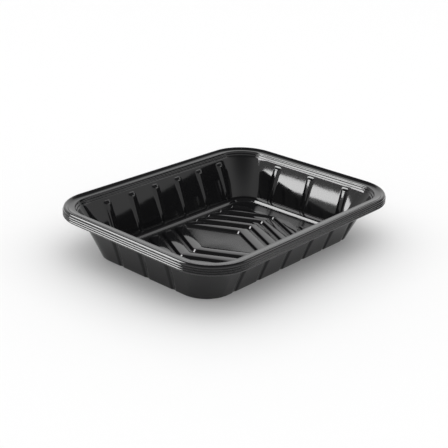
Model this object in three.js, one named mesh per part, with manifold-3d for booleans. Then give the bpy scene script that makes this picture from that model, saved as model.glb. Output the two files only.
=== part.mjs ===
// A deep meat tray, thermoformed from one sheet of gloss black plastic.
// Millimetres, +Z up. The origin is the middle of the underside, on the surface the tray stands on.
// The long side runs along X. Every form is made by the same sheet, so what stands up inside is
// hollow underneath, and what stands in from a wall is a groove on its outside.

import * as THREE from 'three';
import { mergeVertices } from 'three/addons/utils/BufferGeometryUtils.js';
import Module from 'manifold-3d';

const wasm = await Module();
wasm.setup();

// Outer size and sheet
const TRAY_LENGTH = 254;
const TRAY_WIDTH = 195;
const TRAY_HEIGHT = 43.8;
const SHEET = 0.7;

// Rim, from the mouth's edge outwards
const RIM_WIDTH = 10;
const BEAD_HEIGHT = 1.4;
const BEAD_WIDTH = 4.6;
const SKIRT_DROP = 6.7;
const SKIRT_RIDGES = 3;
const SKIRT_RIDGE_DEPTH = 0.6;
const SKIRT_LIP_SHARE = 0.6;

// The bead's crown, as shares of the bead's width and height
const BEAD_CROWN = [[-0.1, 0], [0.15, 0.62], [0.46, 1], [0.7, 0.72], [0.86, 0]];

// Two small steps inside the mouth, above the wall
const MOUTH_STEPS = 2;
const MOUTH_STEP_HEIGHT = 2;
const MOUTH_STEP_WIDTH = 1.5;
const MOUTH_STEP_CORNERS = [[0.45, 0.1], [0.8, 0.8]];

// Wall, and the kerb that stands between the wall's foot and the floor
const END_WALL_LEAN = 12.7;
const SIDE_WALL_LEAN = 16;
const CHANNEL_WIDTH = 0.9;
const KERB_HEIGHT = 2.8;
const KERB_CREST = 6;
const KERB_OUTER_SLOPE = 1.4;
const KERB_INNER_SLOPE = 2.4;
const MOUTH_RADIUS = 28;
const WALL_FOOT_RADIUS = 24.5;

// Wall ribs. Each row stands off its wall's middle by its shift, and the two ends differ
const SIDE_RIBS = 6;
const SIDE_RIB_PITCH = 29.6;
const SIDE_RIB_SHIFT = 4.5;
const END_RIBS = 3;
const FRONT_END_RIB_PITCH = 40.5;
const FRONT_END_RIB_SHIFT = -5;
const BACK_END_RIB_PITCH = 30.5;
const BACK_END_RIB_SHIFT = -2.3;
const RIB_WIDTH = 8.4;
const RIB_CREST = 3;
const RIB_DEPTH = 1.9;
const RIB_FOOT_WIDTH = 5.6;
const RIB_FOOT_DEPTH = 1;
const RIB_TOP_GAP = 2.6;
const RIB_RUNOUT = 3;

// A rib's end at the top, as shares of the run-out's height and of the rib's depth
const RIB_RUNOUT_CURVE = [[1, 1], [0.33, 0.7], [0, 0.02]];

// Floor relief: chevron ridges around a flat lozenge
const RIDGE_HEIGHT = 2.6;
const RIDGE_PITCH = 16.6;
const RIDGE_CREST = 8.6;
const RIDGE_SLOPE = 2.6;
const LOZENGE_HALF_LENGTH = 22;
const CHEVRON_ANGLE = 62.5;
const RELIEF_MARGIN_ENDS = 16;
const RELIEF_MARGIN_SIDES = 4.5;
const RELIEF_SHIFT_X = -3;
const RELIEF_SHIFT_Y = 5;
const RELIEF_CORNER = 8;

// Mesh fineness and the small overlap that joins solids
const CORNER_FACETS = 9;
const OVERLAP = 0.25;
const FLOOR_LAP = 1;
const GROOVE_LAP = 1;
const MITRE_LIMIT = 0.5;
const SMALLEST_RADIUS = 1;

const FLAT_BLACK = new THREE.MeshStandardMaterial({ color: 0x1b1c1c, roughness: 0.16, metalness: 0 });

// Half sizes of the mouth's edge, the line all the rings are measured from
const mouthHalfX = TRAY_LENGTH / 2 - RIM_WIDTH;
const mouthHalfY = TRAY_WIDTH / 2 - RIM_WIDTH;
const mouthZ = TRAY_HEIGHT - BEAD_HEIGHT;
const wallTopIn = MOUTH_STEPS * MOUTH_STEP_WIDTH;
const wallTopZ = mouthZ - MOUTH_STEPS * MOUTH_STEP_HEIGHT;
const footHalfX = mouthHalfX - wallTopIn - END_WALL_LEAN;
const footHalfY = mouthHalfY - wallTopIn - SIDE_WALL_LEAN;
const kerbWidth = CHANNEL_WIDTH + KERB_OUTER_SLOPE + KERB_CREST + KERB_INNER_SLOPE;
const floorHalfX = footHalfX - kerbWidth;
const floorHalfY = footHalfY - kerbWidth;
const floorRadius = WALL_FOOT_RADIUS - kerbWidth;

// A rounded rectangle at height z, with the same count of points whatever its size
function roundedLoop(halfX, halfY, radius, z) {
  const loop = [];
  const centres = [[1, 1], [-1, 1], [-1, -1], [1, -1]];
  centres.forEach(([sx, sy], corner) => {
    for (let step = 0; step <= CORNER_FACETS; step += 1) {
      const angle = (corner + step / CORNER_FACETS) * Math.PI / 2;
      const x = sx * (halfX - radius) + radius * Math.cos(angle);
      const y = sy * (halfY - radius) + radius * Math.sin(angle);
      loop.push(new THREE.Vector3(x, y, z));
    }
  });
  return loop;
}

// Skin between loops of equal count, stacked from the bottom up, anticlockwise seen from above
function loft(loops, isRing) {
  const count = loops[0].length;
  const positions = loops.flat().flatMap((point) => point.toArray());
  const triangles = [];
  const bands = isRing ? loops.length : loops.length - 1;
  for (let band = 0; band < bands; band += 1) {
    const lower = band * count;
    const upper = ((band + 1) % loops.length) * count;
    for (let i = 0; i < count; i += 1) {
      const next = (i + 1) % count;
      triangles.push(lower + i, lower + next, upper + next);
      triangles.push(lower + i, upper + next, upper + i);
    }
  }
  if (!isRing) {
    const flat = loops[0].map((point) => new THREE.Vector2(point.x, point.y));
    const top = (loops.length - 1) * count;
    for (const [a, b, c] of THREE.ShapeUtils.triangulateShape(flat, [])) {
      triangles.push(c, b, a, top + a, top + b, top + c);
    }
  }
  const geometry = new THREE.BufferGeometry();
  geometry.setAttribute('position', new THREE.Float32BufferAttribute(positions, 3));
  geometry.setIndex(triangles);
  return geometry;
}

function solidOf(geometry) {
  geometry.deleteAttribute('normal');
  geometry.deleteAttribute('uv');
  const merged = mergeVertices(geometry, 1e-5);
  return new wasm.Manifold(new wasm.Mesh({
    numProp: 3,
    vertProperties: new Float32Array(merged.attributes.position.array),
    triVerts: new Uint32Array(merged.index.array),
  }));
}

function geometryOf(solid) {
  const mesh = solid.getMesh();
  const geometry = new THREE.BufferGeometry();
  geometry.setAttribute('position', new THREE.Float32BufferAttribute(mesh.vertProperties, 3));
  geometry.setIndex(new THREE.Uint32BufferAttribute(mesh.triVerts, 1));
  geometry.computeVertexNormals();
  return geometry;
}

// The section of the rim, as points (out, z): out is measured from the mouth's edge
function rimSection() {
  const section = [];
  for (let step = MOUTH_STEPS; step > 0; step -= 1) {
    const foot = mouthZ - step * MOUTH_STEP_HEIGHT;
    for (const [across, up] of MOUTH_STEP_CORNERS) {
      section.push([-(step - across) * MOUTH_STEP_WIDTH, foot + up * MOUTH_STEP_HEIGHT]);
    }
  }
  section.push([0, mouthZ]);
  const beadFoot = RIM_WIDTH - BEAD_WIDTH;
  for (const [across, up] of BEAD_CROWN) {
    section.push([beadFoot + across * BEAD_WIDTH, mouthZ + up * BEAD_HEIGHT]);
  }
  const valley = RIM_WIDTH - SKIRT_RIDGE_DEPTH;
  const pitch = SKIRT_DROP / (SKIRT_RIDGES + SKIRT_LIP_SHARE);
  for (let ridge = 0; ridge < SKIRT_RIDGES; ridge += 1) {
    const z = mouthZ - (ridge + 1) * pitch;
    section.push([valley, z + pitch / 2]);
    section.push([RIM_WIDTH, z]);
  }
  section.push([valley, mouthZ - SKIRT_DROP]);
  return section;
}

// The inner or upper face of the sheet as rings, from the floor's edge to the skirt's lip
function upperRings() {
  const kerbTop = SHEET + KERB_HEIGHT;
  const kerbSection = [
    [-FLOOR_LAP, SHEET],
    [0, SHEET],
    [KERB_INNER_SLOPE, kerbTop],
    [KERB_INNER_SLOPE + KERB_CREST, kerbTop],
    [kerbWidth - CHANNEL_WIDTH, SHEET],
    [kerbWidth, SHEET],
  ];
  const rings = kerbSection.map(([out, z]) => (
    { x: floorHalfX + out, y: floorHalfY + out, r: floorRadius + out, z }
  ));
  rings.push({
    x: mouthHalfX - wallTopIn, y: mouthHalfY - wallTopIn, r: MOUTH_RADIUS - wallTopIn, z: wallTopZ,
  });
  for (const [out, z] of rimSection()) {
    rings.push({ x: mouthHalfX + out, y: mouthHalfY + out, r: MOUTH_RADIUS + out, z });
  }
  return rings;
}

// The other face of the sheet: each ring moved by the sheet's thickness, square to the section
function lowerRings(rings) {
  return rings.map((ring, i) => {
    const before = rings[Math.max(i - 1, 0)];
    const after = rings[Math.min(i + 1, rings.length - 1)];
    const lines = [[before, ring], [ring, after]].map(([from, to]) => {
      const run = new THREE.Vector2((to.x - from.x + to.y - from.y) / 2, to.z - from.z);
      return run.length() > 0 ? run.normalize() : null;
    }).filter((run) => run !== null);
    const normals = lines.map((run) => new THREE.Vector2(run.y, -run.x));
    const middle = normals.reduce((sum, normal) => sum.add(normal), new THREE.Vector2()).normalize();
    const move = middle.multiplyScalar(SHEET / Math.max(middle.dot(normals[0]), MITRE_LIMIT));
    const radius = Math.max(ring.r + move.x, SMALLEST_RADIUS);
    return { x: ring.x + move.x, y: ring.y + move.x, r: radius, z: ring.z + move.y };
  });
}

function wallAndRim() {
  const upper = upperRings();
  const lower = lowerRings(upper);
  const rings = [...lower, ...upper.reverse()];
  return solidOf(loft(rings.map((ring) => roundedLoop(ring.x, ring.y, ring.r, ring.z)), true));
}

function floorPlate() {
  const outline = (z) => roundedLoop(floorHalfX - OVERLAP, floorHalfY - OVERLAP, floorRadius, z);
  return solidOf(loft([outline(0), outline(SHEET)], false));
}

// One chevron ridge, its point at +X or -X, whose crest runs from inner to outer along the X axis
function chevronRidge(inner, outer, side, base) {
  const back = 2 * floorHalfY / Math.tan(THREE.MathUtils.degToRad(CHEVRON_ANGLE));
  const slope = RIDGE_SLOPE / Math.sin(THREE.MathUtils.degToRad(CHEVRON_ANGLE));
  const loopAt = (spread, z) => {
    const from = inner - spread;
    const to = outer + spread;
    const arms = 2 * floorHalfY;
    const points = [
      [from, 0], [from - back, -arms], [to - back, -arms],
      [to, 0], [to - back, arms], [from - back, arms],
    ];
    const placed = points.map(([x, y]) => (
      new THREE.Vector3(side * x + RELIEF_SHIFT_X, y + RELIEF_SHIFT_Y, z)
    ));
    return side > 0 ? placed : placed.reverse();
  };
  const stack = [loopAt(slope, base - OVERLAP), loopAt(slope, base), loopAt(0, base + RIDGE_HEIGHT)];
  return solidOf(loft(stack, false));
}

// The tapered field that the ridges end in
function reliefField(base) {
  const x = floorHalfX - RELIEF_MARGIN_ENDS;
  const y = floorHalfY - RELIEF_MARGIN_SIDES;
  return solidOf(loft([
    roundedLoop(x, y, RELIEF_CORNER, base - 2 * OVERLAP),
    roundedLoop(x, y, RELIEF_CORNER, base),
    roundedLoop(x - RIDGE_SLOPE, y - RIDGE_SLOPE, RELIEF_CORNER, base + RIDGE_HEIGHT),
    roundedLoop(x - RIDGE_SLOPE, y - RIDGE_SLOPE, RELIEF_CORNER, base + 2 * RIDGE_HEIGHT),
  ], false));
}

function floorRelief(base) {
  const slope = RIDGE_SLOPE / Math.sin(THREE.MathUtils.degToRad(CHEVRON_ANGLE));
  const reach = 2 * (floorHalfX + floorHalfY / Math.tan(THREE.MathUtils.degToRad(CHEVRON_ANGLE)));
  let ridges = null;
  for (const side of [1, -1]) {
    for (let inner = LOZENGE_HALF_LENGTH + slope; inner < reach; inner += RIDGE_PITCH) {
      const ridge = chevronRidge(inner, inner + RIDGE_CREST, side, base);
      ridges = ridges ? ridges.add(ridge) : ridge;
    }
  }
  return ridges.intersect(reliefField(base));
}

// Distance of the wall's inner face from the middle at height z, on an end or a long side
function wallAt(isEnd, z) {
  const along = (z - SHEET) / (wallTopZ - SHEET);
  const foot = isEnd ? footHalfX : footHalfY;
  const lean = isEnd ? END_WALL_LEAN : SIDE_WALL_LEAN;
  return foot + lean * along;
}

// One rib, or with a thickness given, the groove that the sheet leaves on its outside
function wallRib(isEnd, side, place, thickness) {
  const top = wallTopZ - RIB_TOP_GAP - thickness / 2;
  const bottom = SHEET - (thickness > 0 ? thickness + OVERLAP : OVERLAP);
  const levels = [[bottom, RIB_FOOT_DEPTH, RIB_FOOT_WIDTH]];
  for (const [down, deep] of RIB_RUNOUT_CURVE) {
    levels.push([top - down * RIB_RUNOUT, deep * RIB_DEPTH, RIB_WIDTH]);
  }
  const loops = levels.map(([z, depth, width]) => {
    const halfFoot = (width - thickness) / 2;
    const halfCrest = (RIB_CREST * width / RIB_WIDTH - thickness) / 2;
    const face = wallAt(isEnd, z) + thickness;
    const back = face + (thickness > 0 ? GROOVE_LAP : OVERLAP);
    const crest = face - depth;
    const section = [
      [-halfFoot, back], [-halfFoot, face], [-halfCrest, crest],
      [halfCrest, crest], [halfFoot, face], [halfFoot, back],
    ];
    const points = section.map(([across, away]) => {
      const x = isEnd ? side * away : place + across;
      const y = isEnd ? place + across : side * away;
      return new THREE.Vector3(x, y, z);
    });
    return isEnd === (side > 0) ? points.reverse() : points;
  });
  return solidOf(loft(loops, false));
}

function ribPlaces(count, pitch, shift) {
  return Array.from({ length: count }, (_, i) => shift + (i - (count - 1) / 2) * pitch);
}

function allRibs(thickness) {
  const ribs = [];
  const ends = [
    [1, FRONT_END_RIB_PITCH, FRONT_END_RIB_SHIFT],
    [-1, BACK_END_RIB_PITCH, BACK_END_RIB_SHIFT],
  ];
  for (const [side, pitch, shift] of ends) {
    for (const place of ribPlaces(SIDE_RIBS, SIDE_RIB_PITCH, SIDE_RIB_SHIFT)) {
      ribs.push(wallRib(false, side, place, thickness));
    }
    for (const place of ribPlaces(END_RIBS, pitch, shift)) {
      ribs.push(wallRib(true, side, place, thickness));
    }
  }
  return ribs.reduce((sum, rib) => sum.add(rib));
}

function trayMesh() {
  const sheet = wallAndRim()
    .add(floorPlate())
    .add(floorRelief(SHEET))
    .add(allRibs(0))
    .subtract(floorRelief(0))
    .subtract(allRibs(SHEET));
  const mesh = new THREE.Mesh(geometryOf(sheet), FLAT_BLACK);
  mesh.name = 'tray';
  return mesh;
}

const part = new THREE.Group();
part.add(trayMesh());

export default part;
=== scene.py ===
"""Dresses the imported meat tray: one moulded sheet of gloss black plastic on a white studio floor.

The tray is rebuilt as a fine mesh from the sizes of the solid model. It adds rounded edges, a slight
bow of the walls and a sag of the floor, and its ribs are 0.2 mm shallower at the wall's foot.
Sizes are millimetres in this file and metres in Blender. +X is the long side and +Z is up.
"""

import math

import bmesh
import bpy
import numpy as np
from mathutils import Matrix, Quaternion, Vector
from mathutils.geometry import delaunay_2d_cdt


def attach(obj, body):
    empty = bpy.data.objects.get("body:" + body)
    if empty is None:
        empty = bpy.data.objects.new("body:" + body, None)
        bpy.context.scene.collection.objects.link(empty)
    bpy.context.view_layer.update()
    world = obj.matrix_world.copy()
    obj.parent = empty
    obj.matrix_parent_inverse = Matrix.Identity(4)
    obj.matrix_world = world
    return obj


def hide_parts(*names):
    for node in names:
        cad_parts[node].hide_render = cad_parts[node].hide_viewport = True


bl_info = {
    "name": "Thermoformed meat tray",
    "version": (1, 0, 0),
    "blender": (4, 5, 0),
    "location": "3D View > Sidebar > Tray",
    "description": "Builds a ribbed black plastic meat tray and its studio",
    "category": "Add Mesh",
}

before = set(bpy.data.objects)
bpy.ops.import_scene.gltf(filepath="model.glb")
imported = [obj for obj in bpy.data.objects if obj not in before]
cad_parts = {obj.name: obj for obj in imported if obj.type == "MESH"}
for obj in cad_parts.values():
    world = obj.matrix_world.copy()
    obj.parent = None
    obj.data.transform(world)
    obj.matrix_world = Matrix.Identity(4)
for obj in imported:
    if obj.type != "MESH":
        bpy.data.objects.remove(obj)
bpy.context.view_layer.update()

MM = 0.001

# Outer size and sheet, the same as the solid's
TRAY_LENGTH = 254.0
TRAY_WIDTH = 195.0
TRAY_HEIGHT = 43.8
SHEET = 0.7

# Rim, from the mouth's edge outwards
RIM_WIDTH = 10.0
BEAD_HEIGHT = 1.4
BEAD_WIDTH = 4.6
BEAD_FOOT = RIM_WIDTH - BEAD_WIDTH
SKIRT_DROP = 6.7
SKIRT_RIDGES = 3
SKIRT_RIDGE_DEPTH = 0.6
SKIRT_LIP_SHARE = 0.6
BEAD_RUN_IN = 0.1
BEAD_CROWN = ((0.15, 0.62), (0.46, 1), (0.7, 0.72), (0.86, 0))
MOUTH_STEPS = 2
MOUTH_STEP_HEIGHT = 2.0
MOUTH_STEP_WIDTH = 1.5
MOUTH_STEP_CORNERS = ((0.45, 0.1), (0.8, 0.8))

# Wall, and the kerb that stands between the wall's foot and the floor
END_WALL_LEAN = 12.7
SIDE_WALL_LEAN = 16.0
CHANNEL_WIDTH = 0.9
KERB_HEIGHT = 2.8
KERB_CREST = 6.0
KERB_OUTER_SLOPE = 1.4
KERB_INNER_SLOPE = 2.4
MOUTH_RADIUS = 28.0
WALL_FOOT_RADIUS = 24.5

# Ribs
SIDE_RIBS = 6
SIDE_RIB_PITCH = 29.6
SIDE_RIB_SHIFT = 4.5
END_RIBS = 3
FRONT_END_RIB_PITCH = 40.5
FRONT_END_RIB_SHIFT = -5.0
BACK_END_RIB_PITCH = 30.5
BACK_END_RIB_SHIFT = -2.3
RIB_WIDTH = 8.4
RIB_CREST = 3.0
RIB_DEPTH = 1.9
RIB_FOOT_WIDTH = 5.6
RIB_FOOT_DEPTH = 0.8
RIB_TOP_GAP = 2.6
RIB_RUNOUT = 3.0

# Floor relief
RIDGE_HEIGHT = 2.6
RIDGE_PITCH = 16.6
RIDGE_CREST = 8.6
RIDGE_SLOPE = 2.6
LOZENGE_HALF_LENGTH = 22.0
CHEVRON_ANGLE = math.radians(62.5)
RELIEF_MARGIN_ENDS = 16.0
RELIEF_MARGIN_SIDES = 4.5
RELIEF_SHIFT = (-3.0, 5.0)
RELIEF_CORNER = 8.0

MOUTH_X = TRAY_LENGTH / 2 - RIM_WIDTH
MOUTH_Y = TRAY_WIDTH / 2 - RIM_WIDTH
MOUTH_Z = TRAY_HEIGHT - BEAD_HEIGHT
WALL_TOP_IN = MOUTH_STEPS * MOUTH_STEP_WIDTH
WALL_TOP_Z = MOUTH_Z - MOUTH_STEPS * MOUTH_STEP_HEIGHT
FOOT_X = MOUTH_X - WALL_TOP_IN - END_WALL_LEAN
FOOT_Y = MOUTH_Y - WALL_TOP_IN - SIDE_WALL_LEAN
KERB_WIDTH = CHANNEL_WIDTH + KERB_OUTER_SLOPE + KERB_CREST + KERB_INNER_SLOPE
FLOOR_X = FOOT_X - KERB_WIDTH
FLOOR_Y = FOOT_Y - KERB_WIDTH
FLOOR_RADIUS = WALL_FOOT_RADIUS - KERB_WIDTH

# Rounded edges of the section, from the floor's edge to the mouth's
KERB_FILLETS = [0.9, 1.3, 1.3, 0.5, 0.5]
WALL_TOP_FILLET = 0.6
MOUTH_STEP_FILLET = 0.45
MOUTH_EDGE_FILLET = 0.7
FILLET_REACH = 0.45

# How far in on the flat floor the kerb's mesh starts
FLOOR_LAP = 1.0

# Round edges where ribs and ridges ramp up, as shares of the ramp
RIDGE_ROUNDING = 0.3
RIB_FLANK_ROUNDING = 0.4
RIB_END_ROUNDING = 0.45
CHEVRON_TURN_RADIUS = 1.6

# The floor sags as the sheet cools: it lies lowest in the relief's middle
DISH_RADIUS = 46.0
DISH_RISE = 0.65
DISH_BORDER = 9.0

# Finish of the plastic: millimetres for sizes and heights, factors for the rest
RIPPLE_SIZE = 9.0
GRAIN_SIZE = 0.8
HAZE_SIZE = 26.0
HAZE_RANGE = (0.8, 1.25)
GRAIN_LIGHTENING = 1.7
FLOOR_DULL_BELOW = 1.3
WALL_GLOSS_ABOVE = 2.0

# How far along each side the points stay in line with the ribs
STRAIGHTS = (50.5, 83.5)

# Fineness of the mesh: lengths in millimetres, counts, and shares of a height or a ramp
RIB_STOPS = (0.0, 0.9, 1.5, 2.1, 2.8, 3.5, 4.3, 5.2)
WIDEST_STEP = 5.0
CORNER_SEGMENTS = 14
FILLET_STEPS = 3
RIM_STEPS = 4
WALL_ROWS = [0.1, 0.25, 0.4, 0.55, 0.7]
RUNOUT_ROWS = 6
RAMP_STOPS = (0.0, 0.1, 0.2, 0.3, 0.7, 0.8, 0.9, 1.0)
RELIEF_CORNER_SEGMENTS = 8
ARM_RISES = [0, 0.5, 1, 1.5, 2.1, 2.8, 3.6, 5, 8] + list(range(12, 80, 6))
CUT_HALVINGS = 24
SLOPE_NUDGE = 0.02
SAME_POINT = 1e-4
WELD_DISTANCE = 0.01

# Camera fitted to the photograph: pixels, degrees and millimetres
PHOTO_SIZE = 448
FOCAL_PIXELS = 961.2
CAMERA_ELEVATION = 22.709
CAMERA_AZIMUTH = -48.991
CAMERA_ROLL = 2.148
CAMERA_DISTANCE = 790.2
CAMERA_TARGET = (-46.3, -35.2, MOUTH_Z)
SENSOR_WIDTH = 36.0

# Lamps that only the gloss mirrors: name, direction, distance, width and height in metres, roll, setting
LAMPS = (
    ("Strip light", (-0.801, 0.5625, 0.2076), 6.0, (1.7, 0.37), math.radians(7), "strip_radiance"),
    ("Back softbox", (0.695, 0.604, 0.42), 1.8, (2.6, 1.0), 0.0, "back_radiance"),
    ("Key softbox", (-0.656, 0.755, 0.755), 1.5, (0.8, 0.9), 0.0, "key_radiance"),
    ("Side softbox", (0.696, -0.476, 0.56), 1.5, (0.5, 0.5), 0.0, "side_radiance"),
)
FILL_HEIGHT = 5.0
FILL_SIZE = (16.0, 16.0)

# Heights on the unit sphere between which the white surround darkens to the ceiling
SURROUND_TOP = 0.42
CEILING_START = 0.72

# The black card on the table, in metres
FLAG_DIRECTION = (0.68, -0.73)
FLAG_DISTANCE = 1.0
FLAG_WIDTH = 1.2
FLAG_HEIGHT = 0.299
FLAG_RISE = 0.126


def linear(hex_code):
    """An sRGB hex colour as linear red, green, blue."""
    values = [int(hex_code[i:i + 2], 16) / 255 for i in (0, 2, 4)]
    return tuple(v / 12.92 if v <= 0.04045 else ((v + 0.055) / 1.055) ** 2.4 for v in values)


def eased(t, fillet=RIDGE_ROUNDING):
    """A ramp from 0 to 1 with round corners at both ends, the way a sheet takes a mould's edge."""
    t = np.clip(t, 0.0, 1.0)
    top = 1 - fillet
    rise = 1 / top
    low = rise * t * t / (2 * fillet)
    high = 1 - rise * (1 - t) ** 2 / (2 * fillet)
    return np.where(t < fillet, low, np.where(t > top, high, rise * (t - fillet / 2)))


def rib_places(count, pitch, shift):
    return [shift + (i - (count - 1) / 2) * pitch for i in range(count)]


def side_ribs(side):
    """Where the ribs stand along a side, measured in the direction the perimeter runs."""
    if side % 2:
        places = rib_places(SIDE_RIBS, SIDE_RIB_PITCH, SIDE_RIB_SHIFT)
        return places if side == 3 else [-place for place in places]
    if side == 0:
        return rib_places(END_RIBS, FRONT_END_RIB_PITCH, FRONT_END_RIB_SHIFT)
    return [-place for place in rib_places(END_RIBS, BACK_END_RIB_PITCH, BACK_END_RIB_SHIFT)]


def side_stops(places, reach):
    """Positions along a side: close together on each rib, wider between them."""
    stops = {-reach, reach}
    for place in places:
        for step in RIB_STOPS:
            stops |= {round(place - step, 3), round(place + step, 3)}
    inside = sorted(s for s in stops if -reach <= s <= reach)
    filled = []
    for here, after in zip(inside, inside[1:]):
        parts = max(1, math.ceil((after - here) / WIDEST_STEP))
        filled += [here + (after - here) * k / parts for k in range(parts)]
    return filled + [inside[-1]]


def perimeter():
    """The points of every ring as (side, along, turn): sides 0 to 3, or a corner's turn from 0 to 1."""
    plan = []
    for side in range(4):
        plan += [(side, s, None) for s in side_stops(side_ribs(side), STRAIGHTS[side % 2])]
        plan += [(side, None, (k + 0.5) / CORNER_SEGMENTS) for k in range(CORNER_SEGMENTS)]
    return plan


def lean_in(side, along, half_x, half_y, radius):
    """How far round its corner a side's point lies, as an angle: none on the straight part."""
    straight = (half_y if side % 2 == 0 else half_x) - radius
    return math.asin(min(1, max(0, abs(along) - straight) / radius))


def ring_points(plan, half_x, half_y, radius):
    """Where the perimeter's points lie on a rounded rectangle, and which way is out at each."""
    points = []
    outs = []
    quarter = math.pi / 2
    for side, along, turn in plan:
        if turn is None:
            tilt = math.copysign(lean_in(side, along, half_x, half_y, radius), along)
            angle = side * quarter + tilt
            out = (math.cos(angle), math.sin(angle))
            drop = radius * (1 - math.cos(tilt))
            sign = 1 if side < 2 else -1
            point = (-sign * along, sign * (half_y - drop))
            if side % 2 == 0:
                point = (sign * (half_x - drop), sign * along)
        else:
            first = lean_in(side, STRAIGHTS[side % 2], half_x, half_y, radius)
            last = lean_in(side + 1, STRAIGHTS[(side + 1) % 2], half_x, half_y, radius)
            angle = side * quarter + first + turn * (quarter - first - last)
            out = (math.cos(angle), math.sin(angle))
            corner_x = (half_x - radius) * (1 if side in (0, 3) else -1)
            corner_y = (half_y - radius) * (1 if side in (0, 1) else -1)
            point = (corner_x + radius * out[0], corner_y + radius * out[1])
        points.append(point)
        outs.append(out)
    return np.array(points), np.array(outs)


def rounded(stations, fillets):
    """The stations joined by straight runs, with each corner eased over its fillet length."""
    stations = [np.array(s, float) for s in stations]
    result = [stations[0]]
    for before, here, after, fillet in zip(stations, stations[1:], stations[2:], fillets):
        if fillet <= 0:
            result.append(here)
            continue
        back = here + (before - here) * min(FILLET_REACH, fillet / np.linalg.norm(before - here))
        on = here + (after - here) * min(FILLET_REACH, fillet / np.linalg.norm(after - here))
        for k in range(FILLET_STEPS + 1):
            t = k / FILLET_STEPS
            result.append((1 - t) ** 2 * back + 2 * t * (1 - t) * here + t * t * on)
    return result + [stations[-1]]


def smooth_through(stations):
    """A smooth curve through the stations."""
    pts = [np.array(s, float) for s in stations]
    pts = [2 * pts[0] - pts[1]] + pts + [2 * pts[-1] - pts[-2]]
    curve = []
    for a, b, c, d in zip(pts, pts[1:], pts[2:], pts[3:]):
        for k in range(RIM_STEPS):
            t = k / RIM_STEPS
            curve.append(0.5 * (2 * b + (c - a) * t + (2 * a - 5 * b + 4 * c - d) * t * t
                                + (3 * b - a - 3 * c + d) * t ** 3))
    return curve + [pts[-2]]


def rim_station(out, z):
    return (MOUTH_X + out, MOUTH_Y + out, MOUTH_RADIUS + out, z)


def kerb_stations():
    """The floor's edge and the kerb around it."""
    kerb_top = SHEET + KERB_HEIGHT
    section = [
        (-FLOOR_LAP, SHEET),
        (0, SHEET),
        (KERB_INNER_SLOPE, kerb_top),
        (KERB_INNER_SLOPE + KERB_CREST, kerb_top),
        (KERB_WIDTH - CHANNEL_WIDTH, SHEET),
    ]
    return [(FLOOR_X + out, FLOOR_Y + out, FLOOR_RADIUS + out, z) for out, z in section]


def wall_stations(belly):
    """The wall between its foot and its top, drawn in by the belly, closer spaced where the ribs end."""
    wall_foot = (FOOT_X, FOOT_Y, WALL_FOOT_RADIUS, SHEET)
    wall_top = (MOUTH_X - WALL_TOP_IN, MOUTH_Y - WALL_TOP_IN, MOUTH_RADIUS - WALL_TOP_IN, WALL_TOP_Z)
    rib_top = (WALL_TOP_Z - RIB_TOP_GAP - SHEET) / (WALL_TOP_Z - SHEET)
    runout = RIB_RUNOUT / (WALL_TOP_Z - SHEET)
    foot, top = np.array(wall_foot), np.array(wall_top)
    heights = WALL_ROWS + [rib_top - runout * k / RUNOUT_ROWS for k in range(RUNOUT_ROWS + 2, -2, -1)]
    inward = np.array([belly, belly, belly, 0])
    wall = [foot + (top - foot) * h - inward * math.sin(math.pi * h) for h in heights]
    return [wall_foot, *wall, wall_top]


def mouth_stations():
    """The small steps inside the mouth, its edge and the flat rim up to the bead."""
    stations = []
    for count in range(MOUTH_STEPS, 0, -1):
        below = MOUTH_Z - count * MOUTH_STEP_HEIGHT
        for across, up in MOUTH_STEP_CORNERS:
            out = -(count - across) * MOUTH_STEP_WIDTH
            stations.append(rim_station(out, below + up * MOUTH_STEP_HEIGHT))
    stations.append(rim_station(0, MOUTH_Z))
    stations.append(rim_station(BEAD_FOOT - BEAD_RUN_IN * BEAD_WIDTH, MOUTH_Z))
    return stations


def rim_stations():
    """The bead's crown and the ridged skirt down to the lip."""
    rim = []
    for across, up in BEAD_CROWN:
        rim.append(rim_station(BEAD_FOOT + across * BEAD_WIDTH, MOUTH_Z + up * BEAD_HEIGHT))
    valley = RIM_WIDTH - SKIRT_RIDGE_DEPTH
    pitch = SKIRT_DROP / (SKIRT_RIDGES + SKIRT_LIP_SHARE)
    for ridge in range(SKIRT_RIDGES):
        z = MOUTH_Z - (ridge + 1) * pitch
        rim.append(rim_station(valley, z + pitch / 2))
        rim.append(rim_station(RIM_WIDTH, z))
    rim.append(rim_station(valley, MOUTH_Z - SKIRT_DROP))
    return rim


def profile(belly):
    """The upper face of the sheet from the floor's edge to the lip, as (half x, half y, radius, z)."""
    wall = wall_stations(belly)
    mouth = mouth_stations()
    fillets = KERB_FILLETS + [0] * (len(wall) - 2) + [WALL_TOP_FILLET]
    fillets += [MOUTH_STEP_FILLET] * (len(mouth) - 2) + [MOUTH_EDGE_FILLET]
    inner = kerb_stations() + wall + mouth
    rim = [inner[-1], *rim_stations()]
    return np.array(rounded(inner, fillets) + smooth_through(rim)[1:])


def rib_push(plan, z):
    """How far in each perimeter point is pushed at height z by the ribs."""
    rib_top = WALL_TOP_Z - RIB_TOP_GAP
    full = float(eased(np.array((rib_top - z) / RIB_RUNOUT), RIB_END_ROUNDING))
    if full <= 0:
        return np.zeros(len(plan))
    up = (z - SHEET) / (rib_top - RIB_RUNOUT - SHEET)
    depth = RIB_FOOT_DEPTH + (RIB_DEPTH - RIB_FOOT_DEPTH) * min(1, max(0, up))
    width = RIB_FOOT_WIDTH + (RIB_WIDTH - RIB_FOOT_WIDTH) * min(1, max(0, up))
    slope = width * (1 - RIB_CREST / RIB_WIDTH) / 2
    push = []
    for side, along, turn in plan:
        if turn is not None:
            push.append(0.0)
            continue
        near = min(abs(along - place) for place in side_ribs(side))
        push.append(float(eased(np.array((width / 2 - near) / slope), RIB_FLANK_ROUNDING)))
    return depth * full * np.array(push)


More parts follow.
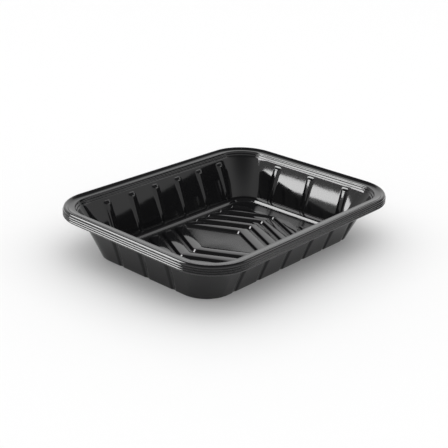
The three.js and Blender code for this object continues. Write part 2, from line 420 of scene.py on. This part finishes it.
def wall_grid(plan, stations):
    """Points of the sheet's upper face, one row for each station."""
    rows = []
    for half_x, half_y, radius, z in stations:
        points, outs = ring_points(plan, half_x, half_y, radius)
        on_wall = half_x > FOOT_X - CHANNEL_WIDTH / 2
        push = rib_push(plan, z) if on_wall else np.zeros(len(plan))
        flat = points - outs * push[:, None]
        rows.append(np.column_stack([flat, np.full(len(flat), z)]))
    return np.array(rows)


def grid_normals(grid):
    """Unit normals of the grid, pointing to the inside and up."""
    around = np.roll(grid, -1, axis=1) - np.roll(grid, 1, axis=1)
    along = np.gradient(grid, axis=0)
    normals = np.cross(along, around)
    length = np.linalg.norm(normals, axis=2, keepdims=True)
    return normals / np.maximum(length, 1e-9)


def field_depth(x, y):
    """How far inside the relief's border a floor point is."""
    half_x = FLOOR_X - RELIEF_MARGIN_ENDS
    half_y = FLOOR_Y - RELIEF_MARGIN_SIDES
    dx = abs(x) - (half_x - RELIEF_CORNER)
    dy = abs(y) - (half_y - RELIEF_CORNER)
    outside = math.hypot(max(dx, 0), max(dy, 0)) + min(max(dx, dy), 0)
    return RELIEF_CORNER - outside


def arm_setback(rise):
    """How far a chevron's arm has drawn in along X at a height from its point, which is rounded."""
    return (math.hypot(rise, CHEVRON_TURN_RADIUS) - CHEVRON_TURN_RADIUS) / math.tan(CHEVRON_ANGLE)


def chevron_reach(x, y):
    """Which chevron a point is on: its distance along X from the pattern's middle, arms unfolded."""
    return abs(x - RELIEF_SHIFT[0]) + arm_setback(y - RELIEF_SHIFT[1])


def ridge_edges():
    """Each ridge as (inner foot, inner crest, outer crest, outer foot), measured along X."""
    slope = RIDGE_SLOPE / math.sin(CHEVRON_ANGLE)
    edges = []
    inner = LOZENGE_HALF_LENGTH + slope
    while inner < FLOOR_X + FLOOR_Y / math.tan(CHEVRON_ANGLE):
        edges.append((inner - slope, inner, inner + RIDGE_CREST, inner + RIDGE_CREST + slope))
        inner += RIDGE_PITCH
    return edges


def floor_height(x, y, edges):
    """Height of the relief and the sag above the flat floor."""
    depth = field_depth(x, y)
    if depth <= 0:
        return 0.0
    reach = chevron_reach(x, y)
    level = 0.0
    for foot, crest, crest_end, foot_end in edges:
        if foot < reach < foot_end:
            up = (reach - foot) / (crest - foot)
            down = (foot_end - reach) / (foot_end - crest_end)
            level = min(up, down, 1.0)
    from_middle = min(1.0, math.hypot(x - RELIEF_SHIFT[0], y - RELIEF_SHIFT[1]) / DISH_RADIUS)
    dish = DISH_RISE * from_middle * from_middle * (3 - 2 * from_middle) * min(1.0, depth / DISH_BORDER)
    edge = float(eased(np.array(depth / RIDGE_SLOPE)))
    return dish + RIDGE_HEIGHT * float(eased(np.array(level))) * edge


def border_lines():
    """The relief's border, at each stop of its slope."""
    lines = []
    for stop in RAMP_STOPS:
        inset = stop * RIDGE_SLOPE
        half_x = FLOOR_X - RELIEF_MARGIN_ENDS - inset
        half_y = FLOOR_Y - RELIEF_MARGIN_SIDES - inset
        radius = RELIEF_CORNER - inset
        loop = []
        for corner in range(4):
            sx = 1 if corner in (0, 3) else -1
            sy = 1 if corner in (0, 1) else -1
            for k in range(RELIEF_CORNER_SEGMENTS + 1):
                angle = (corner + k / RELIEF_CORNER_SEGMENTS) * math.pi / 2
                loop.append((sx * (half_x - radius) + radius * math.cos(angle),
                             sy * (half_y - radius) + radius * math.sin(angle)))
        lines.append(loop + [loop[0]])
    return lines


def arm_line(reach, side, arm):
    """One arm of the chevron line that meets the middle at this reach."""
    points = []
    for rise in ARM_RISES:
        across = reach - arm_setback(rise)
        if across <= 0:
            break
        points.append((RELIEF_SHIFT[0] + side * across, RELIEF_SHIFT[1] + arm * rise))
    return points


def floor_lines(edges):
    """Polylines the floor's mesh must follow: the relief's border and both slopes of every ridge."""
    lines = border_lines()
    slopes = []
    for foot, crest, crest_end, foot_end in edges:
        slopes += [(foot, crest), (foot_end, crest_end)]
    for low, high in slopes:
        for stop in RAMP_STOPS:
            reach = low + (high - low) * stop
            for side, arm in ((1, 1), (1, -1), (-1, 1), (-1, -1)):
                lines += clipped(arm_line(reach, side, arm))
    return lines


def clipped(points):
    """The runs of a polyline that lie inside the relief's border."""
    runs = []
    run = []
    for before, after in zip(points, points[1:]):
        inside_before = field_depth(*before) > 0
        inside_after = field_depth(*after) > 0
        if not inside_before and not inside_after:
            continue
        low, high = (before, after) if inside_before else (after, before)
        cut = high
        if inside_before != inside_after:
            near, far = np.array(low), np.array(high)
            for _ in range(CUT_HALVINGS):
                middle = (near + far) / 2
                near, far = (middle, far) if field_depth(*middle) > 0 else (near, middle)
            cut = tuple(near)
        segment = [low, cut] if inside_before else [cut, low]
        if run and run[-1] == segment[0]:
            run.append(segment[1])
        else:
            if len(run) > 1:
                runs.append(run)
            run = list(segment)
    if len(run) > 1:
        runs.append(run)
    return runs


def floor_mesh(border):
    """The floor as points, the way each faces, and triangles that follow the relief's lines."""
    edges = ridge_edges()
    points = [Vector(p[:2]) for p in border]
    links = [(i, (i + 1) % len(points)) for i in range(len(points))]
    for line in floor_lines(edges):
        start = len(points)
        points += [Vector(p) for p in line]
        links += [(start + i, start + i + 1) for i in range(len(line) - 1)]
    flat, _, faces, _, _, _ = delaunay_2d_cdt(points, links, [], 0, SAME_POINT)
    spots = []
    normals = []
    step = SLOPE_NUDGE
    for x, y in flat:
        spots.append((x, y, SHEET + floor_height(x, y, edges)))
        slope_x = (floor_height(x + step, y, edges) - floor_height(x - step, y, edges)) / (2 * step)
        slope_y = (floor_height(x, y + step, edges) - floor_height(x, y - step, edges)) / (2 * step)
        normals.append(Vector((-slope_x, -slope_y, 1)).normalized())
    return np.array(spots), np.array(normals), [tuple(f) for f in faces]


def new_mesh_object(name, vertices, faces):
    mesh = bpy.data.meshes.new(name)
    mesh.from_pydata([tuple(v * MM) for v in vertices], [], faces)
    mesh.validate()
    mesh.update()
    obj = bpy.data.objects.new(name, mesh)
    bpy.context.scene.collection.objects.link(obj)
    return obj


def tray_sheet(belly):
    """Both faces of the moulded sheet and its cut edge, as vertices and faces."""
    plan = perimeter()
    stations = profile(belly)
    upper = wall_grid(plan, stations)
    normals = grid_normals(upper)
    normals[0] = (0, 0, 1)
    lower = upper - normals * SHEET
    rows, count = upper.shape[:2]
    vertices = [*upper.reshape(-1, 3), *lower.reshape(-1, 3)]
    offset = rows * count
    faces = []
    for row in range(rows - 1):
        for i in range(count):
            j = (i + 1) % count
            a, b = row * count + i, row * count + j
            c, d = a + count, b + count
            faces.append((a, b, d, c))
            faces.append((offset + c, offset + d, offset + b, offset + a))
    lip = (rows - 1) * count
    for i in range(count):
        j = (i + 1) % count
        faces.append((lip + i, lip + j, offset + lip + j, offset + lip + i))
    spots, slopes, triangles = floor_mesh(upper[0])
    start = len(vertices)
    vertices += [*spots, *(spots - slopes * SHEET)]
    under = start + len(spots)
    for a, b, c in triangles:
        faces.append((start + a, start + b, start + c))
        faces.append((under + c, under + b, under + a))
    return vertices, faces


def weld(obj):
    """Joins the floor to the wall where their points meet, and turns every face outwards."""
    mesh = bmesh.new()
    mesh.from_mesh(obj.data)
    bmesh.ops.remove_doubles(mesh, verts=mesh.verts, dist=WELD_DISTANCE * MM)
    bmesh.ops.recalc_face_normals(mesh, faces=mesh.faces)
    mesh.to_mesh(obj.data)
    mesh.free()


def add_node(tree, kind, inputs=None, links=None, **settings):
    """Adds a shader node with its settings, constant inputs and links from other nodes' outputs."""
    node = tree.nodes.new(kind)
    for key, value in settings.items():
        setattr(node, key, value)
    for key, value in (inputs or {}).items():
        node.inputs[key].default_value = value
    for key, socket in (links or {}).items():
        tree.links.new(socket, node.inputs[key])
    return node


def noise(tree, spot, size, **settings):
    """Noise whose features are about size millimetres across."""
    inputs = {"Scale": 1 / (size * MM), **settings}
    return add_node(tree, "ShaderNodeTexNoise", inputs, {"Vector": spot}).outputs["Fac"]


def finish_roughness(tree, spot, props):
    """Roughness of the gloss: faintly hazy in patches, and duller on the floor, which so mirrors the
    room as one even grey."""
    haze = noise(tree, spot, HAZE_SIZE, Detail=3.0)
    low, high = (props.roughness * share for share in HAZE_RANGE)
    patchy = add_node(tree, "ShaderNodeMapRange", {"To Min": low, "To Max": high}, {"Value": haze})
    place = add_node(tree, "ShaderNodeSeparateXYZ", None, {"Vector": spot})
    heights = {"From Min": FLOOR_DULL_BELOW * MM, "From Max": WALL_GLOSS_ABOVE * MM}
    dull = add_node(tree, "ShaderNodeMapRange", {**heights, "To Min": props.floor_dullness, "To Max": 0.0},
                    {"Value": place.outputs["Z"]})
    both = add_node(tree, "ShaderNodeMath", None, {0: patchy.outputs["Result"], 1: dull.outputs["Result"]},
                    operation="ADD")
    return both.outputs["Value"]


def black_polypropylene(props):
    """Polypropylene with carbon black, thermoformed: glossy, with the shallow ripple and faint haze
    that a drawn sheet has, so that reflections waver a little and are not quite sharp."""
    material = bpy.data.materials.new("Black polypropylene, thermoformed")
    material.use_nodes = True
    tree = material.node_tree
    tree.nodes.clear()
    spot = add_node(tree, "ShaderNodeTexCoord").outputs["Object"]
    # Ripple from the sheet cooling on the mould, and a fine grain from extrusion
    ripple = noise(tree, spot, RIPPLE_SIZE, Detail=2.0, Roughness=0.45)
    grain = noise(tree, spot, GRAIN_SIZE, Detail=3.0)
    light = tuple(c * GRAIN_LIGHTENING for c in props.colour)
    tone = add_node(tree, "ShaderNodeMix", {"A": (*props.colour, 1), "B": (*light, 1)}, {"Factor": grain},
                    data_type="RGBA")
    wide = add_node(tree, "ShaderNodeBump", {"Strength": 1.0, "Distance": props.ripple * MM},
                    {"Height": ripple})
    fine = add_node(tree, "ShaderNodeBump", {"Strength": 1.0, "Distance": props.grain * MM},
                    {"Height": grain, "Normal": wide.outputs["Normal"]})
    links = {"Base Color": tone.outputs["Result"], "Roughness": finish_roughness(tree, spot, props),
             "Normal": fine.outputs["Normal"]}
    plastic = add_node(tree, "ShaderNodeBsdfPrincipled", {"IOR": props.ior, "Metallic": 0.0}, links)
    add_node(tree, "ShaderNodeOutputMaterial", None, {"Surface": plastic.outputs["BSDF"]})
    return material


def matt_floor(props):
    """Matt white laminate: a plain pale studio table that takes a soft shadow."""
    material = bpy.data.materials.new("White laminate, matt")
    material.use_nodes = True
    tree = material.node_tree
    tree.nodes.clear()
    finish = {"Base Color": (*props.floor_colour, 1), "Roughness": 0.9, "Specular IOR Level": 0.0}
    paint = add_node(tree, "ShaderNodeBsdfPrincipled", finish)
    add_node(tree, "ShaderNodeOutputMaterial", None, {"Surface": paint.outputs["BSDF"]})
    return material


class TrayProperties(bpy.types.PropertyGroup):
    """What a user would change on the tray itself."""

    colour: bpy.props.FloatVectorProperty(
        name="Sheet colour", description="Body colour of the plastic", subtype="COLOR", size=3,
        default=linear("0e0e0f"), min=0, max=1)
    roughness: bpy.props.FloatProperty(
        name="Roughness", description="How much the gloss is blurred", default=0.055, min=0, max=1,
        subtype="FACTOR")
    floor_dullness: bpy.props.FloatProperty(
        name="Floor dullness", description="How much rougher the floor is than the walls", default=0.2, min=0,
        max=1, subtype="FACTOR")
    ior: bpy.props.FloatProperty(
        name="IOR", description="Index of refraction of polypropylene", default=1.49, min=1, max=2)
    ripple: bpy.props.FloatProperty(
        name="Ripple", description="Height of the sheet's shallow waves, in millimetres", default=0.01,
        min=0, max=1)
    grain: bpy.props.FloatProperty(
        name="Grain", description="Height of the fine grain, in millimetres", default=0.0006, min=0, max=0.1)
    belly: bpy.props.FloatProperty(
        name="Wall belly", description="How far the walls draw in at half height on cooling, in millimetres",
        default=0.5, min=-2, max=2)


class StageProperties(bpy.types.PropertyGroup):
    """The studio around the tray."""

    floor_colour: bpy.props.FloatVectorProperty(
        name="Floor colour", description="Colour of the table", subtype="COLOR", size=3,
        default=linear("f0f0f0"), min=0, max=1)
    floor_size: bpy.props.FloatProperty(
        name="Floor size", description="Width of the table", default=14.0, min=1, unit="LENGTH")
    surround: bpy.props.FloatProperty(
        name="Surround", description="Strength of the white studio around", default=0.8, min=0, max=2)
    zenith: bpy.props.FloatProperty(
        name="Ceiling", description="Strength of the dark ceiling above the white surround", default=0.12,
        min=0)
    strip_radiance: bpy.props.FloatProperty(
        name="Strip light", description="Brightness of the long low light on the left", default=13.0, min=0)
    back_radiance: bpy.props.FloatProperty(
        name="Back softbox", description="Brightness of the wide softbox on the right that the floor mirrors",
        default=0.5, min=0)
    key_radiance: bpy.props.FloatProperty(
        name="Key softbox", description="Brightness of the softbox behind the tray", default=13.0, min=0)
    side_radiance: bpy.props.FloatProperty(
        name="Side softbox", description="Brightness of the weak softbox at the front right", default=1.6,
        min=0)
    fill_radiance: bpy.props.FloatProperty(
        name="Fill", description="Brightness of the wide fill above, which the gloss doesn't mirror",
        default=1.06, min=0)


class TRAY_OT_moulding(bpy.types.Operator):
    """Build the tray's moulded sheet and ride it on the solid model"""

    bl_idname = "tray.moulding"
    bl_label = "Moulded tray"

    def execute(self, context):
        props = context.scene.tray_moulding
        vertices, faces = tray_sheet(props.belly)
        tray = new_mesh_object("moulded_tray", np.array(vertices), faces)
        weld(tray)
        for polygon in tray.data.polygons:
            polygon.use_smooth = True
        tray.data.materials.append(black_polypropylene(props))
        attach(tray, "root")
        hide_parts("tray")
        return {"FINISHED"}


def softbox(name, direction, distance, size, roll, radiance):
    """A flat rectangular light aimed at the tray; radiance 1 looks like the white surround."""
    lamp = bpy.data.lights.new(name, "AREA")
    lamp.shape = "RECTANGLE"
    lamp.size, lamp.size_y = size
    lamp.energy = radiance * math.pi * size[0] * size[1]
    obj = bpy.data.objects.new(name, lamp)
    obj.location = Vector(direction).normalized() * distance
    turn = obj.location.to_track_quat("Z", "Y") @ Quaternion((0, 0, 1), roll)
    obj.rotation_euler = turn.to_euler()
    obj.visible_camera = False
    bpy.context.scene.collection.objects.link(obj)
    return obj


def dark_flag():
    """A black card on the table, out of view at the front right: the far wall's lower half mirrors it."""
    away_x, away_y = FLAG_DIRECTION
    foot = Vector((away_x, away_y, 0)) * FLAG_DISTANCE
    side = Vector((-away_y, away_x, 0)) * FLAG_WIDTH / 2
    low = foot - side + Vector((0, 0, FLAG_HEIGHT - FLAG_RISE))
    high = foot + side + Vector((0, 0, FLAG_HEIGHT + FLAG_RISE))
    corners = np.array([foot - side, foot + side, high, low]) / MM
    flag = new_mesh_object("black_flag", corners, [(0, 1, 2, 3)])
    material = bpy.data.materials.new("Black velvet, woven")
    material.use_nodes = True
    cloth = material.node_tree.nodes["Principled BSDF"]
    cloth.inputs["Base Color"].default_value = (0.01, 0.01, 0.01, 1)
    cloth.inputs["Roughness"].default_value = 1.0
    flag.data.materials.append(material)
    flag.visible_camera = False
    flag.visible_diffuse = False
    flag.visible_shadow = False
    return flag


class TRAY_OT_stage(bpy.types.Operator):
    """Build the white table, the surround, the softboxes and the camera"""

    bl_idname = "tray.stage"
    bl_label = "Studio"

    def execute(self, context):
        props = context.scene.tray_stage
        half = props.floor_size / 2
        corners = np.array([(-half, -half, 0), (half, -half, 0), (half, half, 0), (-half, half, 0)]) / MM
        floor = new_mesh_object("table", corners, [(0, 1, 2, 3)])
        floor.data.materials.append(matt_floor(props))
        context.scene.world = studio_surround(props)
        for name, direction, distance, size, roll, setting in LAMPS:
            lamp = softbox(name, direction, distance, size, roll, getattr(props, setting))
            lamp.visible_diffuse = False
        dark_flag()
        fill = softbox("Fill", (0, 0, 1), FILL_HEIGHT, FILL_SIZE, 0.0, props.fill_radiance)
        fill.visible_glossy = False
        context.scene.camera = photo_camera()
        context.scene.view_settings.view_transform = "Standard"
        return {"FINISHED"}


def studio_surround(props):
    """White paper around the table that darkens towards the ceiling."""
    world = bpy.data.worlds.new("White studio")
    world.use_nodes = True
    tree = world.node_tree
    tree.nodes.clear()
    place = add_node(tree, "ShaderNodeTexCoord")
    split = add_node(tree, "ShaderNodeSeparateXYZ", None, {"Vector": place.outputs["Generated"]})
    heights = {"From Min": SURROUND_TOP, "From Max": CEILING_START}
    strengths = {"To Min": props.surround, "To Max": props.zenith}
    fade = add_node(tree, "ShaderNodeMapRange", {**heights, **strengths}, {"Value": split.outputs["Z"]},
                    interpolation_type="SMOOTHSTEP")
    # Seen straight from the camera the surround is plain white
    path = add_node(tree, "ShaderNodeLightPath")
    mixed = {"Factor": path.outputs["Is Camera Ray"], "A": fade.outputs["Result"]}
    seen = add_node(tree, "ShaderNodeMix", {"B": 1.0}, mixed)
    sky = add_node(tree, "ShaderNodeBackground", {"Color": (1, 1, 1, 1)},
                   {"Strength": seen.outputs["Result"]})
    add_node(tree, "ShaderNodeOutputWorld", None, {"Surface": sky.outputs["Background"]})
    return world


def photo_camera():
    """The camera, with the position and lens that the photograph was fitted to."""
    elevation = math.radians(CAMERA_ELEVATION)
    azimuth = math.radians(CAMERA_AZIMUTH)
    roll = math.radians(CAMERA_ROLL)
    level_part = math.cos(elevation)
    back = Vector((math.sin(azimuth) * level_part, -math.cos(azimuth) * level_part, math.sin(elevation)))
    level = Vector((math.cos(azimuth), math.sin(azimuth), 0))
    upright = back.cross(level)
    right = math.cos(roll) * level + math.sin(roll) * upright
    up = -math.sin(roll) * level + math.cos(roll) * upright
    lens = bpy.data.cameras.new("Photo camera")
    lens.sensor_width = SENSOR_WIDTH
    lens.lens = FOCAL_PIXELS * SENSOR_WIDTH / PHOTO_SIZE
    lens.dof.use_dof = False
    camera = bpy.data.objects.new("Photo camera", lens)
    place = (Vector(CAMERA_TARGET) + back * CAMERA_DISTANCE) * MM
    camera.matrix_world = Matrix.Translation(place) @ Matrix((right, up, back)).transposed().to_4x4()
    bpy.context.scene.collection.objects.link(camera)
    return camera


class TRAY_PT_panel(bpy.types.Panel):
    """Lists the tray's builders in the sidebar"""

    bl_label = "Meat tray"
    bl_idname = "TRAY_PT_panel"
    bl_space_type = "VIEW_3D"
    bl_region_type = "UI"
    bl_category = "Tray"

    def draw(self, context):
        for operator, props in ((TRAY_OT_moulding, context.scene.tray_moulding),
                                (TRAY_OT_stage, context.scene.tray_stage)):
            self.layout.operator(operator.bl_idname)
            for key in props.__annotations__:
                self.layout.prop(props, key)


CLASSES = (TrayProperties, StageProperties, TRAY_OT_moulding, TRAY_OT_stage, TRAY_PT_panel)


def register():
    for cls in CLASSES:
        bpy.utils.register_class(cls)
    bpy.types.Scene.tray_moulding = bpy.props.PointerProperty(type=TrayProperties)
    bpy.types.Scene.tray_stage = bpy.props.PointerProperty(type=StageProperties)


def unregister():
    del bpy.types.Scene.tray_stage
    del bpy.types.Scene.tray_moulding
    for cls in reversed(CLASSES):
        bpy.utils.unregister_class(cls)


def main():
    register()
    bpy.ops.tray.moulding()
    bpy.ops.tray.stage()


if __name__ == "__main__":
    main()
